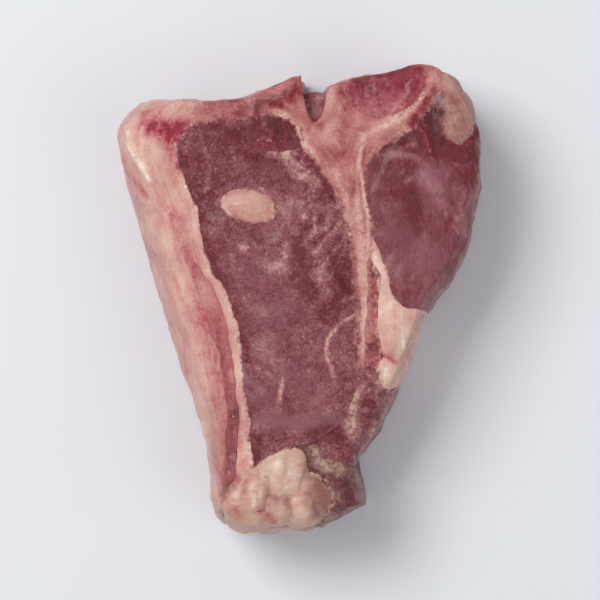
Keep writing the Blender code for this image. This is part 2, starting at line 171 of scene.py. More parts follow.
# How far the cut face of a low piece rises, to lie level with its neighbours.
RISE = {"cap_muscle": 1.0, "side_muscle": 1.1, "bone_marrow": 0.4, "crus_muscle": 0.6}

# The middle colour of each piece, which its neighbours take on along the seam, and over how many
# millimetres it fades out beyond the seam.
TINTS = {
    "bone_marrow": (146, 66, 78), "canal_tissue": (140, 82, 96), "cap_muscle": (190, 120, 120),
    "chine_fat": (166, 123, 115), "crus_muscle": (112, 56, 62), "fat_cap": (206, 160, 148),
    "fat_kernel": (197, 161, 149), "flank_muscle": (136, 76, 80), "kidney_fat": (210, 171, 159),
    "loin_eye": (136, 78, 84), "side_muscle": (156, 92, 96), "spine_muscle": (121, 54, 63),
    "t_bone": (184, 124, 118), "tail_fat": (198, 160, 148), "tail_muscle": (124, 82, 82),
    "tenderloin": (124, 76, 83),
}
SOFTNESS = {
    "bone_marrow": 1.0, "canal_tissue": 1.0, "cap_muscle": 1.0, "chine_fat": 0.8,
    "crus_muscle": 1.0, "fat_cap": 0.7, "fat_kernel": 0.9, "flank_muscle": 1.1,
    "kidney_fat": 0.8, "loin_eye": 0.8, "side_muscle": 1.2, "spine_muscle": 1.0,
    "t_bone": 1.6, "tail_fat": 1.0, "tail_muscle": 1.0, "tenderloin": 0.7,
}
# Pieces that keep their own colour up to the seam.
PLAIN_EDGES = ("bone_marrow", "cap_muscle")

# ---------------------------------------------------------------- stage, in metres

FLOOR_SIZE = 4.0
KEY_LIGHT = ((-0.45, 0.35, 0.8), 0.5, 6.5)      # place, size and watts
FILL_LIGHT = ((0.6, -0.3, 0.7), 0.8, 2.0)
SKY = (0.95, 0.97, 1.0, 1.0)
SKY_STRENGTH = 0.4
CAMERA_ABOVE = 0.7              # height of the camera above the chop
CHOP_SHARE = 0.8                # share of the picture's height that the chop fills
SENSOR_WIDTH = 36.0             # in millimetres

# ---------------------------------------------------------------- marks

# Strokes on a piece's cut faces: kind, width in millimetres, strength, and points as fractions
# of the piece's box from its left and lower edges. Pale is fat in lean meat and bright fat, and
# some pale strokes on fat are painted highlights and glints. Blood is a red stain. The film mark
# is membrane on lean meat; on fat, and in the groove at the lower end of the cap's streak, it is
# painted shade.
PAINTS = ("pale", "blood", "film")
FORMS = ("lump", "ridge", "crease")
MARKS = {}

MARKS["loin_eye"] = (
    ("pale", 1.4, 0.6, (0.52, 0.89), (0.61, 0.89), (0.68, 0.87)),
    ("pale", 3.4, 0.8, (0.61, 0.89), (0.68, 0.85), (0.74, 0.82)),
    ("pale", 1.0, 0.5, (0.55, 0.8)),
    ("pale", 3.0, 0.4, (0.58, 0.76), (0.72, 0.75)),
    ("pale", 1.6, 0.35, (0.74, 0.75), (0.88, 0.75)),
    ("pale", 0.8, 0.9, (0.76, 0.72), (0.76, 0.68)),
    ("pale", 1.2, 0.9, (0.7, 0.72)),
    ("pale", 1.8, 0.7, (0.37, 0.63)),
    ("pale", 0.9, 0.7, (0.31, 0.61)),
    ("pale", 0.9, 0.5, (0.43, 0.64)),
    ("pale", 0.7, 0.6, (0.9, 0.7), (0.82, 0.66), (0.75, 0.61)),
    ("pale", 0.6, 0.5, (0.84, 0.69), (0.75, 0.67), (0.68, 0.63)),
    ("pale", 0.7, 0.5, (0.92, 0.66), (0.84, 0.61), (0.78, 0.57)),
    ("pale", 0.6, 0.4, (0.92, 0.63), (0.86, 0.58), (0.83, 0.53)),
    ("blood", 1.4, 0.4, (0.86, 0.69), (0.78, 0.65), (0.72, 0.61)),
    ("blood", 1.2, 0.4, (0.9, 0.65), (0.84, 0.61)),
    ("blood", 1.4, 0.45, (0.81, 0.71), (0.72, 0.69), (0.66, 0.65)),
    ("pale", 2.4, 0.5, (0.77, 0.55), (0.81, 0.5)),
    ("pale", 2.0, 0.5, (0.52, 0.58), (0.58, 0.57)),
    ("pale", 1.6, 0.45, (0.6, 0.64), (0.58, 0.56)),
    ("pale", 2.6, 0.3, (0.39, 0.48), (0.46, 0.45)),
    ("pale", 0.7, 0.8, (1.01, 0.45), (0.9, 0.42), (0.84, 0.37), (0.83, 0.31), (0.86, 0.26)),
    ("pale", 0.8, 0.7, (0.96, 0.49), (0.9, 0.48)),
    ("pale", 3.4, 0.3, (0.46, 0.34), (0.55, 0.28)),
    ("pale", 0.9, 0.9, (0.59, 0.25), (0.57, 0.19)),
    ("pale", 0.8, 0.6, (0.45, 0.28), (0.53, 0.26)),
    ("pale", 0.8, 0.5, (0.14, 0.95), (0.19, 0.87), (0.16, 0.79)),
    ("blood", 4.0, 0.8, (0.68, 0.64), (0.67, 0.58), (0.72, 0.51)),
    ("blood", 4.6, 0.6, (0.88, 0.6), (0.91, 0.53), (0.85, 0.45)),
    ("blood", 3.0, 0.7, (0.68, 0.88), (0.78, 0.84), (0.86, 0.77)),
    ("blood", 2.4, 0.6, (0.74, 0.81), (0.83, 0.76)),
    ("blood", 2.4, 0.9, (0.74, 0.09), (0.83, 0.1), (0.91, 0.08)),
    ("blood", 2.6, 0.4, (0.44, 0.08), (0.43, 0.02)),
    ("blood", 2.2, 0.5, (0.03, 0.89), (0.11, 0.76), (0.14, 0.65), (0.23, 0.53), (0.32, 0.41),
     (0.36, 0.3)),
    ("blood", 3.6, 0.3, (0.43, 0.68), (0.47, 0.63)),
    ("blood", 2.6, 0.4, (0.14, 0.97), (0.23, 0.98)),
    ("blood", 8.0, 0.5, (0.19, 0.93), (0.21, 0.84), (0.16, 0.77)),
    ("blood", 6.0, 0.45, (0.32, 0.93), (0.44, 0.88), (0.53, 0.84)),
    ("film", 13.0, 0.3, (0.44, 0.54), (0.53, 0.43)),
    ("film", 3.0, 0.3, (0.5, 0.86), (0.54, 0.84)),
    ("film", 7.0, 0.3, (0.67, 0.26), (0.74, 0.22)),
    ("film", 3.0, 0.85, (0.46, 0.14), (0.66, 0.13), (0.88, 0.13)),
    ("film", 5.0, 0.4, (0.4, 0.23), (0.49, 0.18)),
)

MARKS["spine_muscle"] = (
    ("pale", 0.8, 0.5, (0.45, 0.61)),
    ("pale", 0.6, 0.4, (0.22, 0.45), (0.41, 0.3)),
    ("blood", 5.0, 0.6, (0.45, 0.71), (0.72, 0.45)),
    ("blood", 1.2, 0.6, (0.22, 0.76), (0.38, 0.5)),
)

MARKS["flank_muscle"] = (
    ("blood", 3.0, 0.8, (0.01, 0.28), (0.25, 0.32), (0.49, 0.24)),
    ("pale", 2.2, 0.7, (0.47, 0.95), (0.51, 0.72), (0.49, 0.55)),
    ("pale", 2.4, 0.75, (0.47, 0.47), (0.51, 0.28)),
    ("pale", 1.6, 1.0, (0.75, 0.45), (0.7, 0.32)),
    ("pale", 0.7, 0.7, (0.49, 0.68), (0.61, 0.8)),
    ("pale", 0.8, 0.6, (0.68, 0.93), (0.82, 0.8)),
    ("blood", 2.0, 0.5, (0.68, 0.68), (0.73, 0.55)),
)

MARKS["tenderloin"] = (
    ("blood", 1.6, 0.8, (0.14, 0.91), (0.29, 0.94), (0.43, 1.01)),
    ("pale", 1.4, 0.5, (0.25, 0.87), (0.4, 0.86), (0.54, 0.8), (0.6, 0.76)),
    ("pale", 0.8, 0.5, (0.3, 0.92), (0.47, 0.94)),
    ("pale", 2.8, 0.6, (0.49, 0.74), (0.6, 0.67)),
    ("pale", 2.6, 0.35, (0.63, 0.62), (0.76, 0.53)),
    ("pale", 1.0, 0.7, (0.69, 0.53)),
    ("pale", 0.6, 0.6, (0.34, 0.7), (0.4, 0.72)),
    ("pale", 0.7, 0.8, (0.98, 0.74), (0.94, 0.56), (0.89, 0.37)),
    ("pale", 4.0, 0.5, (0.85, 0.63), (0.83, 0.46)),
    ("blood", 4.0, 0.35, (0.18, 0.79), (0.25, 0.67)),
    ("blood", 3.2, 0.55, (0.4, 0.62), (0.43, 0.46)),
    ("film", 7.0, 0.35, (0.21, 0.42), (0.54, 0.28)),
    ("film", 5.0, 0.65, (0.54, 0.74), (0.61, 0.63)),
)

MARKS["t_bone"] = (
    ("blood", 1.4, 0.6, (0.65, 0.62), (0.65, 0.55)),
    ("blood", 3.0, 1.0, (0.67, 0.95), (0.75, 0.97), (0.84, 0.98), (0.91, 0.98)),
    ("blood", 3.0, 0.7, (0.61, 0.91), (0.64, 0.94), (0.67, 0.95)),
    ("blood", 2.0, 0.7, (0.92, 0.98), (0.93, 0.93)),
    ("blood", 2.2, 1.0, (0.89, 0.81), (0.93, 0.85), (0.95, 0.89)),
    ("blood", 2.4, 0.45, (0.63, 0.87), (0.62, 0.8), (0.61, 0.72)),
    ("blood", 2.6, 0.4, (0.31, 0.91), (0.42, 0.95)),
    ("blood", 1.4, 0.6, (0.49, 0.83), (0.53, 0.79)),
    ("blood", 3.4, 0.45, (0.08, 0.87), (0.16, 0.88), (0.24, 0.88)),
    ("blood", 3.6, 1.0, (0.21, 0.85), (0.31, 0.87), (0.42, 0.91)),
    ("blood", 2.4, 0.8, (0.98, 0.91), (0.98, 0.86)),
    ("blood", 1.6, 0.7, (0.28, 0.88), (0.33, 0.86)),
    ("blood", 1.4, 0.6, (0.39, 0.94), (0.42, 0.87)),
    ("blood", 1.4, 0.3, (0.65, 0.41), (0.66, 0.29), (0.67, 0.18)),
    ("pale", 0.9, 0.7, (0.7, 0.14), (0.7, 0.04)),
    ("blood", 1.6, 0.35, (0.6, 0.59), (0.61, 0.53)),
    ("blood", 4.4, 0.25, (0.52, 0.74), (0.57, 0.72)),
    ("pale", 2.2, 0.55, (-0.07, 0.87), (0.04, 0.89)),
    ("pale", 1.6, 0.5, (0.0, 0.81), (0.05, 0.76)),
    ("pale", 1.2, 0.75, (0.31, 0.86), (0.38, 0.83), (0.43, 0.79), (0.47, 0.73), (0.52, 0.69)),
    ("pale", 1.8, 0.65, (0.7, 0.76), (0.79, 0.81), (0.85, 0.84), (0.93, 0.9), (0.96, 0.95)),
    ("pale", 0.5, 1.0, (0.7, 0.74), (0.68, 0.68), (0.7, 0.6), (0.71, 0.52), (0.71, 0.4), (0.71, 0.22)),
    ("blood", 0.4, 0.5, (0.71, 0.73), (0.7, 0.67), (0.71, 0.6)),
    ("pale", 1.8, 0.6, (0.66, 0.56), (0.68, 0.43), (0.69, 0.31), (0.7, 0.21), (0.7, 0.11)),
    ("pale", 3.0, 0.4, (0.61, 0.56), (0.63, 0.46)),
    ("pale", 0.8, 0.5, (0.59, 0.65), (0.62, 0.53), (0.65, 0.41)),
)

MARKS["bone_marrow"] = (
    ("blood", 3.4, 0.8, (0.24, 0.73), (0.51, 0.81), (0.83, 0.84)),
    ("pale", 3.4, 1.0, (0.24, 0.17), (0.51, 0.22), (0.75, 0.48)),
)

MARKS["fat_cap"] = (
    ("blood", 5.0, 1.0, (0.27, 0.93), (0.38, 0.91), (0.47, 0.92)),
    ("blood", 2.4, 0.6, (0.38, 0.88), (0.46, 0.84)),
    ("blood", 3.0, 0.35, (0.16, 0.97), (0.28, 0.97)),
    ("blood", 1.0, 0.7, (0.01, 0.83), (0.11, 0.79), (0.19, 0.76)),
    ("blood", 2.2, 0.25, (0.39, 0.72), (0.47, 0.58)),
    ("blood", 3.0, 0.4, (0.55, 0.61), (0.62, 0.54)),
    ("blood", 4.2, 0.44, (0.62, 0.55), (0.68, 0.47), (0.74, 0.39), (0.78, 0.32)),
    ("blood", 4.2, 0.32, (0.78, 0.3), (0.82, 0.22)),
    ("blood", 4.0, 0.5, (0.86, 0.21), (0.86, 0.13), (0.82, 0.05)),
    ("blood", 2.2, 0.35, (0.47, 0.33), (0.52, 0.24)),
    ("blood", 7.0, 0.32, (0.7, 0.24), (0.73, 0.11)),
    ("blood", 3.0, 0.4, (0.78, 0.05), (0.87, 0.01)),
    ("blood", 1.6, 0.3, (0.25, 0.66), (0.38, 0.53), (0.49, 0.39)),
    # A painted highlight: the bright Y-shaped glint on the fold near the outer shoulder; the ridges
    # below raise the fold itself.
    ("pale", 0.8, 1.0, (0.06, 0.93), (0.09, 0.88), (0.14, 0.84), (0.22, 0.8)),
    ("pale", 0.7, 1.0, (0.01, 0.9), (0.09, 0.88)),
    ("pale", 3.4, 0.2, (0.36, 0.82), (0.46, 0.73)),
    # A faint painted highlight on the lower cap.
    ("pale", 3.0, 0.25, (0.63, 0.32), (0.68, 0.19)),
    ("pale", 5.0, 0.32, (0.36, 0.65), (0.44, 0.56), (0.52, 0.47)),
    ("ridge", 1.0, 0.8, (0.06, 0.93), (0.09, 0.88), (0.14, 0.84), (0.22, 0.8)),
    ("ridge", 1.0, 0.8, (-0.0, 0.91), (0.09, 0.88)),
    ("crease", 1.2, 0.5, (0.01, 0.83), (0.11, 0.79), (0.19, 0.76)),
    # These two strokes paint shade into the groove beside the lower end of the streak.
    ("film", 2.0, 0.9, (0.87, 0.24), (0.86, 0.16), (0.84, 0.09), (0.78, 0.03)),
    ("blood", 2.2, 0.7, (0.87, 0.23), (0.86, 0.15), (0.83, 0.07)),
    ("film", 6.0, 0.3, (0.71, 0.22), (0.74, 0.13), (0.78, 0.07)),
    ("blood", 2.6, 0.35, (0.62, 0.29), (0.68, 0.17), (0.7, 0.09)),
)

MARKS["cap_muscle"] = (
    ("blood", 1.2, 0.6, (0.51, 0.74), (0.61, 0.61), (0.7, 0.5)),
    # From here on the strokes darken the groove at the streak's lower end: the streak's own red, and
    # painted shade in the groove.
    ("blood", 3.0, 1.0, (0.91, 0.31), (0.91, 0.14), (0.82, 0.0)),
    ("blood", 2.6, 0.6, (0.75, 0.5), (0.86, 0.4), (0.91, 0.31)),
    ("film", 1.6, 0.2, (0.86, 0.4), (0.91, 0.33)),
    ("film", 1.6, 0.35, (0.91, 0.33), (0.91, 0.23)),
    ("film", 1.6, 0.45, (0.91, 0.23), (0.91, 0.14), (0.84, 0.02)),
    ("pale", 2.0, 0.5, (0.23, 0.91), (0.37, 0.82)),
)

MARKS["tail_fat"] = (
    ("lump", 7.5, 1.0, (0.51, 0.81), (0.56, 0.59)),
    ("lump", 5.0, 0.85, (0.67, 0.84), (0.65, 0.56)),
    ("lump", 5.0, 0.9, (0.35, 0.56), (0.33, 0.39)),
    ("lump", 4.6, 0.7, (0.54, 0.31), (0.54, 0.19)),
    ("lump", 5.0, 0.9, (0.76, 0.36), (0.77, 0.21)),
    ("lump", 5.5, 0.7, (0.17, 0.26), (0.29, 0.16)),
    # Painted highlights: a bright ridge on the big lobe, and a broad painted light over the lobes'
    # tops.
    ("pale", 1.2, 0.8, (0.56, 0.91), (0.54, 0.74)),
    ("pale", 3.4, 0.3, (0.47, 0.84), (0.58, 0.54)),
    # Painted shade in the creases between the lobes.
    ("film", 1.0, 0.5, (0.44, 0.66), (0.45, 0.44), (0.54, 0.41)),
    ("film", 1.0, 0.4, (0.63, 0.44), (0.67, 0.24)),
    # More painted highlights: a bright ridge and two glints on the lobes.
    ("pale", 1.4, 0.7, (0.63, 0.71), (0.63, 0.54)),
    ("pale", 0.6, 1.0, (0.33, 0.46), (0.33, 0.36)),
    ("pale", 0.6, 0.9, (0.38, 0.51), (0.38, 0.44)),
    ("pale", 1.6, 0.4, (0.74, 0.31), (0.77, 0.24)),
    ("blood", 1.2, 0.45, (0.45, 0.34), (0.58, 0.44), (0.65, 0.34)),
    ("blood", 2.2, 0.35, (0.1, 0.41), (0.22, 0.29)),
    ("blood", 2.0, 0.55, (0.4, 0.29), (0.49, 0.2)),
    ("blood", 1.4, 0.3, (0.29, 0.64), (0.26, 0.44)),
    # Painted shade in the crease at the right of the lobes.
    ("film", 1.6, 0.6, (0.81, 0.74), (0.88, 0.56), (0.81, 0.39)),
    ("film", 4.0, 0.9, (0.92, 0.64), (0.97, 0.49), (0.92, 0.29)),
    ("blood", 4.0, 0.5, (0.93, 0.59), (0.97, 0.44)),
    # A painted highlight along a lobe's ridge.
    ("pale", 2.2, 0.55, (0.65, 0.74), (0.67, 0.54)),
)

MARKS["tail_muscle"] = (
    ("lump", 2.8, 0.8, (0.32, 0.92)),
    ("pale", 2.0, 0.7, (0.32, 1.0), (0.35, 0.82)),
    ("pale", 3.0, 0.72, (0.47, 0.75), (0.74, 0.72)),
    ("pale", 0.8, 0.6, (0.27, -0.01), (0.62, 0.17), (1.0, 0.29)),
    ("pale", 2.0, 0.45, (0.41, 0.47), (0.62, 0.35)),
    ("blood", 1.6, 0.5, (0.29, 0.72), (0.41, 0.55)),
    ("blood", 3.2, 0.55, (0.77, 0.55), (0.82, 0.4)),
    ("film", 2.6, 0.4, (0.56, 0.45)),
)

MARKS["kidney_fat"] = (
    ("blood", 0.7, 0.5, (0.09, 0.78), (0.06, 0.58)),
    ("blood", 0.9, 0.7, (0.09, 0.23), (0.32, 0.21), (0.5, 0.17)),
    ("crease", 1.6, 0.7, (0.06, 0.23), (0.32, 0.21), (0.54, 0.17)),
    # A painted glint on the upper lobe.
    ("pale", 0.8, 1.0, (0.13, 0.26)),
    ("pale", 2.6, 0.15, (0.32, 0.52), (0.39, 0.38)),
    # Painted light on the right of the fat, which is lit though its surface slopes away there.
    ("pale", 3.0, 0.5, (0.54, 0.49), (0.58, 0.33)),
    ("pale", 3.0, 0.8, (0.28, 0.13), (0.35, 0.06)),
    ("film", 1.4, 0.4, (0.73, 0.33), (0.62, 0.21)),
    ("blood", 0.6, 0.5, (-0.02, 0.97), (0.02, 0.86)),
    ("pale", 1.4, 0.5, (0.11, 0.92), (0.21, 0.72), (0.24, 0.58)),
)

MARKS["side_muscle"] = (
    ("pale", 0.9, 0.5, (0.02, 0.1), (0.02, -0.02)),
    ("blood", 2.8, 0.7, (0.48, 0.21), (0.17, 0.1), (-0.14, -0.04)),
    ("blood", 2.0, 0.4, (0.33, 0.93), (0.33, 0.7), (0.17, 0.55)),
    ("pale", 0.7, 0.4, (0.33, 0.4), (0.17, 0.25)),
)

MARKS["crus_muscle"] = (
    ("pale", 0.5, 0.9, (0.08, 0.73), (0.2, 0.52), (0.26, 0.24)),
    ("pale", 0.4, 0.6, (0.17, 0.8), (0.29, 0.48)),
    ("blood", 3.8, 0.9, (0.32, 0.8), (0.36, 0.42)),
)

MARKS["chine_fat"] = (
    ("blood", 4.2, 1.0, (-0.05, 0.36), (0.0, -0.0)),
    ("blood", 3.0, 1.0, (0.08, 0.66), (0.1, 0.42)),
    ("blood", 4.0, 0.35, (0.43, 0.54), (0.48, 0.12)),
    ("pale", 2.6, 0.3, (0.43, 0.42), (0.48, 0.18)),
    ("film", 1.6, 0.4, (0.23, 0.03), (0.58, -0.03)),
)

MARKS["canal_tissue"] = (
    ("pale", 0.9, 0.7, (0.7, 0.88), (0.98, 1.01)),
    ("pale", 2.0, 0.3, (0.61, 0.33)),
    ("blood", 1.2, 0.7, (0.04, 1.08), (0.23, 0.54)),
)

MARKS["fat_kernel"] = (
    ("pale", 2.6, 0.3, (0.34, 0.63), (0.67, 0.36)),
    ("blood", 1.0, 0.25, (0.05, 0.7), (0.26, 0.16)),
)


# ---------------------------------------------------------------- noise

def lattice(points, size, seed):
    """Smooth random values in -1..1, with features about `size` mm across."""
    table = np.random.default_rng(seed).uniform(-1, 1, 8192)
    grid = points / size
    home = np.floor(grid).astype(np.int64)
    part = grid - home
    part = part ** 3 * (part * (part * 6 - 15) + 10)
    total = np.zeros(len(points))
    for corner in itertools.product((0, 1), repeat=3):
        weight = np.prod(np.where(corner, part, 1 - part), axis=1)
        total += weight * table[scramble(home + corner, len(table))]
    return total


def scramble(cell, count):
    """A repeatable table index for each whole-numbered cell."""
    x, y, z = cell.T
    return (x * 73856093 ^ y * 19349663 ^ z * 83492791) % count


def layered(points, size, seed, octaves=3):
    """Lattices added up, each half the size and half the strength of the one before."""
    total = 0
    for octave in range(octaves):
        total = total + lattice(points, size / 2 ** octave, seed + octave) / 2 ** octave
    return total / (2 - 0.5 ** (octaves - 1))


def cells(points, size, seed):
    """Distances to the nearest and the next of scattered points, in units of `size`."""
    table = np.random.default_rng(seed).uniform(0, 1, (4096, 3))
    grid = points / size
    home = np.floor(grid).astype(np.int64)
    near = np.full(len(points), 9.0)
    second = np.full(len(points), 9.0)
    for offset in itertools.product((-1, 0, 1), repeat=3):
        cell = home + offset
        place = cell + table[scramble(cell, len(table))]
        distance = np.linalg.norm(place - grid, axis=1)
        second = np.minimum(second, np.maximum(distance, near))
        near = np.minimum(near, distance)
    return near, second


def smooth_step(value, low, high):
    """0 below low, 1 above high, and a smooth rise between."""
    share = np.clip((value - low) / (high - low), 0, 1)
    return share * share * (3 - 2 * share)


# ---------------------------------------------------------------- fine meshes

def search_tree(things):
    """A tree that finds the nearest point on some objects, in millimetres."""
    places = []
    corners = []
    for thing in things:
        corners += (read_corners(thing.data) + len(places)).tolist()
        places += read_points(thing.data).tolist()
    return BVHTree.FromPolygons(places, corners)


def neighbours(points, nodes):
    """For each point, how far the nearest of some solids is, and its number in the list."""
    tree = search_tree(nodes)
    found = [tree.find_nearest(point) for point in points]
    ends = np.cumsum([len(read_corners(node.data)) for node in nodes])
    owner = np.searchsorted(ends, [face for _, _, face, _ in found], side="right")
    return np.array([away for _, _, _, away in found]), owner


def fine_copy(name, node):
    """A piece with even, fine faces in the shape of a solid, grown to close its seams."""
    mesh = node.data.copy()
    mesh.materials.clear()
    work = bmesh.new()
    work.from_mesh(mesh)
    bmesh.ops.remove_doubles(work, verts=work.verts, dist=MM / 1000)
    middle = max(vertex.co.z for vertex in work.verts) / 2
    for vertex in work.verts:
        if vertex.co.z > middle:
            vertex.co.z += RISE.get(node.name, 0.0) * MM
    work.to_mesh(mesh)
    work.free()
    piece = bpy.data.objects.new(name, mesh)
    bpy.context.scene.collection.objects.link(piece)
    grow = piece.modifiers.new("grow", "DISPLACE")
    grow.strength = SEAM_GROWTH * MM
    grow.mid_level = 0.0
    remesh = piece.modifiers.new("remesh", "REMESH")
    remesh.mode = "VOXEL"
    remesh.voxel_size = VOXEL * MM
    soften = piece.modifiers.new("soften", "SMOOTH")
    soften.factor = 0.5
    soften.iterations = SMOOTH_ROUNDS
    seen = piece.evaluated_get(bpy.context.evaluated_depsgraph_get())
    fine = bpy.data.meshes.new_from_object(seen)
    piece.modifiers.clear()
    piece.data = fine
    fine.name = name
    return piece


def read_points(mesh):
    """The mesh's vertices in millimetres."""
    values = np.empty(len(mesh.vertices) * 3, np.float32)
    mesh.vertices.foreach_get("co", values)
    return values.reshape(-1, 3).astype(float) / MM


def read_corners(mesh):
    """The vertex numbers of the mesh's triangles."""
    mesh.calc_loop_triangles()
    values = np.empty(len(mesh.loop_triangles) * 3, np.int32)
    mesh.loop_triangles.foreach_get("vertices", values)
    return values.reshape(-1, 3)


def read_normals(mesh):
    """The mesh's vertex normals."""
    values = np.empty(len(mesh.vertices) * 3, np.float32)
    mesh.vertex_normals.foreach_get("vector", values)
    return values.reshape(-1, 3).astype(float)


def write_points(mesh, points):
    """Move the mesh's vertices to places in millimetres."""
    mesh.vertices.foreach_set("co", (points * MM).astype(np.float32).ravel())
    mesh.update()


def spread_out(mesh, values, rounds):
    """Blend a value at each vertex with its neighbours' values."""
    ends = np.empty(len(mesh.edges) * 2, np.int32)
    mesh.edges.foreach_get("vertices", ends)
    first, second = ends.reshape(-1, 2).T
    count = np.maximum(np.bincount(ends, minlength=len(values)), 1)
    for _ in range(rounds):
        total = np.bincount(first, values[second], len(values))
        total += np.bincount(second, values[first], len(values))
        values = (values + total / count) / 2
    return values


def write_values(mesh, name, values):
    """Store one number for each vertex, for the shader."""
    layer = mesh.attributes.new(name, "FLOAT", "POINT")
    layer.data.foreach_set("value", np.asarray(values, np.float32))


# ---------------------------------------------------------------- shape

class Grooves:
    """How far the grooves along the seams lie below the surface beside them."""

    def __init__(self, pieces):
        self.low = np.min([piece.points.min(axis=0) for piece in pieces], axis=0)
        high = np.max([piece.points.max(axis=0) for piece in pieces], axis=0)
        counts = ((high - self.low) / GROOVE_CELL).astype(int) + 2
        tree = search_tree([piece.thing for piece in pieces])
        above = 2 * high[2]
        self.surface = np.full(counts[:2], -above)
        for column, row in np.ndindex(*self.surface.shape):
            start = (self.low[0] + column * GROOVE_CELL, self.low[1] + row * GROOVE_CELL, above)
            hit = tree.ray_cast(start, (0.0, 0.0, -1.0))[0]
            if hit:
                self.surface[column, row] = hit.z
        outside = self.surface < 0
        spread = self.widest(self.surface)
        depth = np.where(outside, 0, -self.widest(-spread) - self.surface)
        self.depth = depth * (1 - smooth_step(depth, *DEEP_GROOVE))
        self.surface = np.where(outside, spread, self.surface)

    @staticmethod
    def widest(field):
        """The highest value within reach of each cell."""
        cells_out = round(GROOVE_REACH / GROOVE_CELL)
        padded = np.pad(field, cells_out, constant_values=field.min())
        best = field
        for across, along in itertools.product(range(2 * cells_out + 1), repeat=2):
            if math.hypot(across - cells_out, along - cells_out) <= cells_out:
                part = padded[across:across + field.shape[0], along:along + field.shape[1]]
                best = np.maximum(best, part)
        return best

    def read(self, field, points):
        """A field's value at each point, blended between cells."""
        place = (points[:, :2] - self.low[:2]) / GROOVE_CELL
        place = np.clip(place, 0, np.array(field.shape) - 1.001)
        home = place.astype(int)
        part = place - home
        total = np.zeros(len(points))
        for corner in itertools.product((0, 1), repeat=2):
            weight = np.prod(np.where(corner, part, 1 - part), axis=1)
            total += weight * field[tuple((home + corner).T)]
        return total

    def fill(self, points, seam):
        """How far each point has to rise for its groove to vanish.

        Where pieces overlap along a seam, the one below rises almost flush with the one
        above, so that no dark line shows between them.
        """
        below = np.maximum(self.read(self.surface, points) - points[:, 2], 0)
        lift = self.read(self.depth, points) * (1 - smooth_step(below, *FILL_DEPTH))
        near = 1 - smooth_step(seam, *FLUSH_SEAM)
        return lift + FLUSH * near * below * (1 - smooth_step(below, *FLUSH_DEPTH))


def shared_warp(points, top):
    """The waviness that all pieces share, so that they still meet."""
    shift = np.zeros_like(points)
    slow = points * (1, 1, 0.5)
    plan = points * (1, 1, 0)
    for rank, (size, reach) in enumerate(PLAN_WARPS):
        for axis in (0, 1):
            shift[:, axis] += reach * lattice(slow, size, 10 * rank + axis)
    size, reach = SIDE_SWAY
    deep = 1 - points[:, 2] / top
    for axis in (0, 1):
        shift[:, axis] += reach * deep * lattice(points, size, 60 + axis)
    for rank, (size, reach) in enumerate(HEIGHT_WARPS):
        shift[:, 2] += reach * lattice(plan, size, 40 + rank)
    shift[:, 2] *= smooth_step(points[:, 2], 0.4 * top, top)
    return shift


class Piece:
    """One fine mesh with what its relief and paint are worked out from."""

    def __init__(self, name, frame, top):
        node = frame["nodes"][name]
        others = [other for key, other in frame["nodes"].items() if key != name]
        self.name = name
        self.thing = fine_copy(f"fine_{name}", node)
        self.mesh = self.thing.data
        self.points = read_points(self.mesh)
        self.normals = read_normals(self.mesh)
        self.fibres = self.points / (1, 1, FIBRE_STRETCH)
        inner = self.points - SEAM_INSET * self.normals
        self.seam, beyond = neighbours(inner, others)
        soft = np.array([SOFTNESS[other.name] for other in others])[beyond] + SOFTNESS[name]
        blend = 0.0 if name in PLAIN_EDGES else BLEND
        self.share = blend * (1 - smooth_step(self.seam, 0.0, soft))
        self.turn = np.where([other.name > name for other in others], 1.0, -1.0)[beyond]
        tints = np.array([under_sheen(TINTS[other.name]) for other in others])
        self.beyond = tints[beyond]
        low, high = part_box(name)
        self.low = np.array(low) / MM
        self.span = np.array(high - low) / MM
        self.upper = smooth_step(self.normals[:, 2], *FACING)
        self.lower = smooth_step(-self.normals[:, 2], *FACING)
        self.bare = smooth_step(self.seam, *RELIEF_SEAM) * (1 - self.lower)
        self.side = smooth_step(self.seam, *SIDE_SEAM) * (1 - self.lower) * (1 - self.upper)
        face = smooth_step(self.points[:, 2] - top, -MARK_DEPTH[0], -MARK_DEPTH[1])
        face = np.maximum(face, np.maximum(self.upper, self.lower))
        self.marks = {kind: face * self.strokes(kind) for kind in PAINTS + FORMS}

    def strokes(self, kind):
        """Strength of one kind of mark at each vertex."""
        total = np.zeros(len(self.points))
        plan = self.points[:, :2]
        for own, width, strength, *stops in MARKS.get(self.name, ()):
            if own != kind:
                continue
            path = [self.low[:2] + self.span[:2] * stop for stop in stops]
            away = np.full(len(plan), np.inf)
            for start, end in zip(path, path[1:] or path):
                along = end - start
                share = (plan - start) @ along / max(along @ along, 1e-9)
                foot = start + np.clip(share, 0, 1)[:, None] * along
                away = np.minimum(away, np.linalg.norm(plan - foot, axis=1))
            if kind == "lump":
                reach = np.sqrt(np.clip(1 - (2 * away / width) ** 2, 0, 1))
            else:
                fade = 0.35 * width + 0.3
                reach = 1 - smooth_step(away, width / 2 - fade, width / 2 + fade)
            total = np.maximum(total, strength * reach)
        return total

    def finish(self, height, grooves, top):
        """Raise the surface by height along its normals and store the paint."""
        shift = shared_warp(self.points, top) + self.normals * (height * self.bare)[:, None]
        shift[:, 2] += spread_out(self.mesh, grooves.fill(self.points, self.seam), FILL_ROUNDS)
        self.points = self.points + shift
        write_points(self.mesh, self.points)
        write_values(self.mesh, "seam", self.seam)
        write_values(self.mesh, "share", self.share)
        write_values(self.mesh, "turn", self.turn)
        layer = self.mesh.attributes.new("beyond", "FLOAT_COLOR", "POINT")
        layer.data.foreach_set("color", self.beyond.astype(np.float32).ravel())
        write_values(self.mesh, "side", self.side)
        for kind in PAINTS:
            write_values(self.mesh, kind, self.marks[kind])
        self.mesh.shade_smooth()


def swell(points, kind, seed):
    """Layered relief of one kind."""
    height, size = kind
    return height * layered(points, size, seed)


